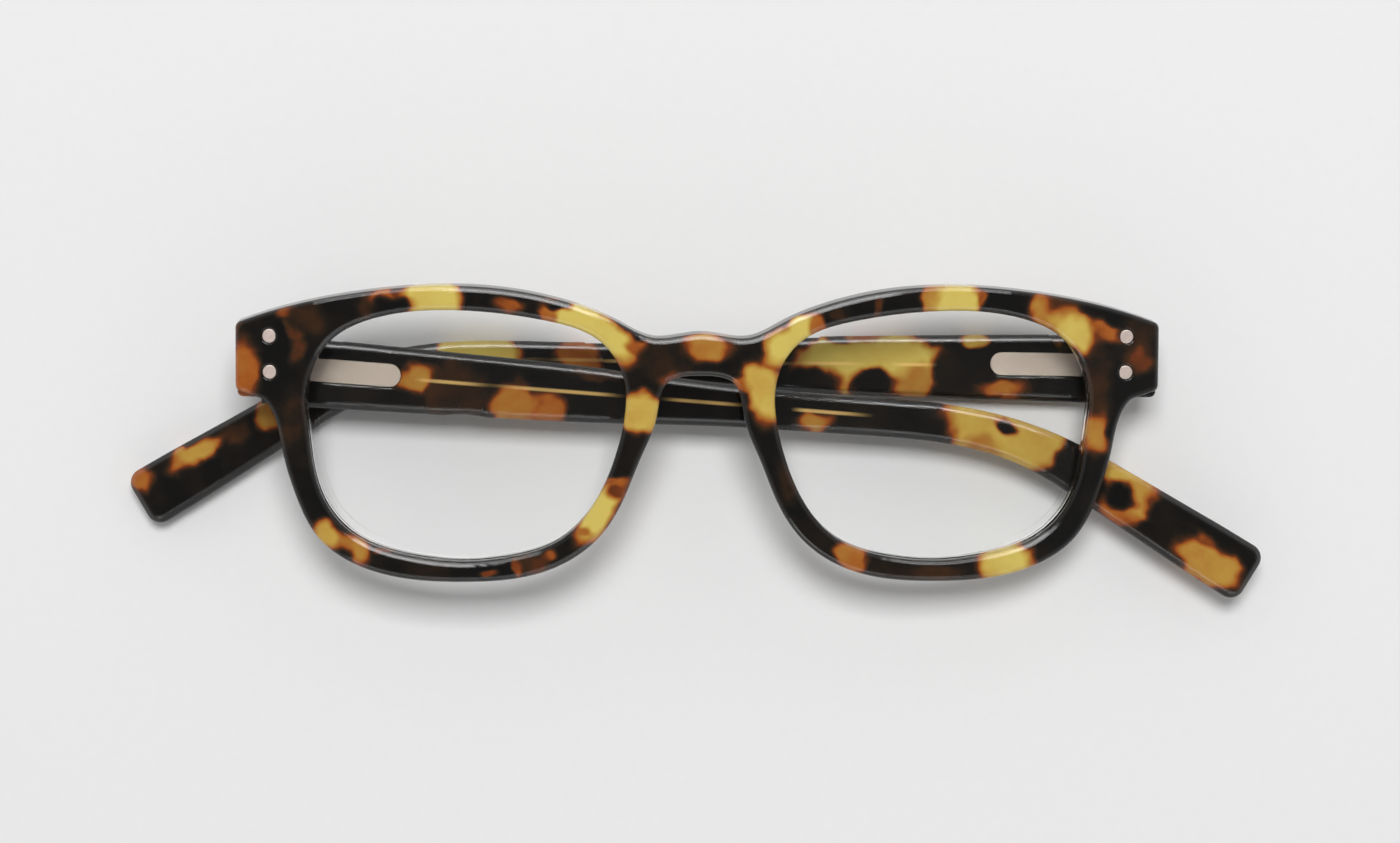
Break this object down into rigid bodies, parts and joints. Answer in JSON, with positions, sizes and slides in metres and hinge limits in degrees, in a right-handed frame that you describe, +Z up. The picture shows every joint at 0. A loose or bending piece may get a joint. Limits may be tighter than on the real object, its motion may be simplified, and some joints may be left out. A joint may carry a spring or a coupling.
{
  "type": "folding eyeglasses frame",
  "caption": "Folded acetate eyeglasses with rounded square lenses, riveted sprung hinges and curved temples on core wires.",
  "frame": {"origin": "centre of the base, on the surface that the folded glasses lie on", "axes": "+X across the front towards the right-hand hinge in the stored view, +Y towards the brow, +Z up, out of the front face"},
  "size_m": [0.1598, 0.0438, 0.022],
  "materials": {
    "front_acetate": "polished tortoiseshell acetate",
    "temple_acetate": "polished tortoiseshell acetate",
    "pad_acetate": "polished amber acetate",
    "lens": "polished",
    "rivet_metal": "satin",
    "hinge_metal": "satin",
    "core_metal": "satin",
    "spring_steel": "satin"
  },
  "bodies": {
    "front": {"front": "front_acetate", "lens_left": "lens", "lens_right": "lens", "nose_pad_left": "pad_acetate", "nose_pad_right": "pad_acetate", "rivet_left_upper": "rivet_metal", "rivet_left_lower": "rivet_metal", "rivet_right_upper": "rivet_metal", "rivet_right_lower": "rivet_metal", "hinge_leaf_left": "hinge_metal", "hinge_leaf_right": "hinge_metal", "hinge_screw_left": "hinge_metal", "hinge_screw_right": "hinge_metal"},
    "eye_left": {"hinge_eye_left": "hinge_metal"},
    "temple_left": {"temple_left": "temple_acetate", "spring_box_left": "hinge_metal", "spring_plug_left": "hinge_metal", "hinge_spring_left": "spring_steel", "core_wire_left": "core_metal"},
    "eye_right": {"hinge_eye_right": "hinge_metal"},
    "temple_right": {"temple_right": "temple_acetate", "spring_box_right": "hinge_metal", "spring_plug_right": "hinge_metal", "hinge_spring_right": "spring_steel", "core_wire_right": "core_metal"}
  },
  "joints": [
    {"name": "fold_right", "type": "hinge", "parent": "front", "child": "eye_right", "pos_m": [0.05884, 0.0109, 0.0053], "axis": [-0.014, -0.9993, -0.0349], "range_deg": [0, 87.45]},
    {"name": "spring_right", "type": "slide", "parent": "eye_right", "child": "temple_right", "axis": [-0.9999, 0.014, 0], "range_m": [0, 0.0015], "stiffness_N_per_m": 2000, "springref_m": -0.0008, "deforming": ["hinge_spring_right"]},
    {"name": "fold_left", "type": "hinge", "parent": "front", "child": "eye_left", "pos_m": [-0.05804, 0.0106, 0.01051], "axis": [0.0778, 0.9964, -0.0349], "range_deg": [0, 91.55]},
    {"name": "spring_left", "type": "slide", "parent": "eye_left", "child": "temple_left", "axis": [0.9968, -0.0784, -0.0175], "range_m": [0, 0.0015], "stiffness_N_per_m": 2000, "springref_m": -0.0008, "deforming": ["hinge_spring_left"]}
  ],
  "couplings": [
    {"joint": "fold_left", "follows": "fold_right", "ratio": 1.0469}
  ]
}
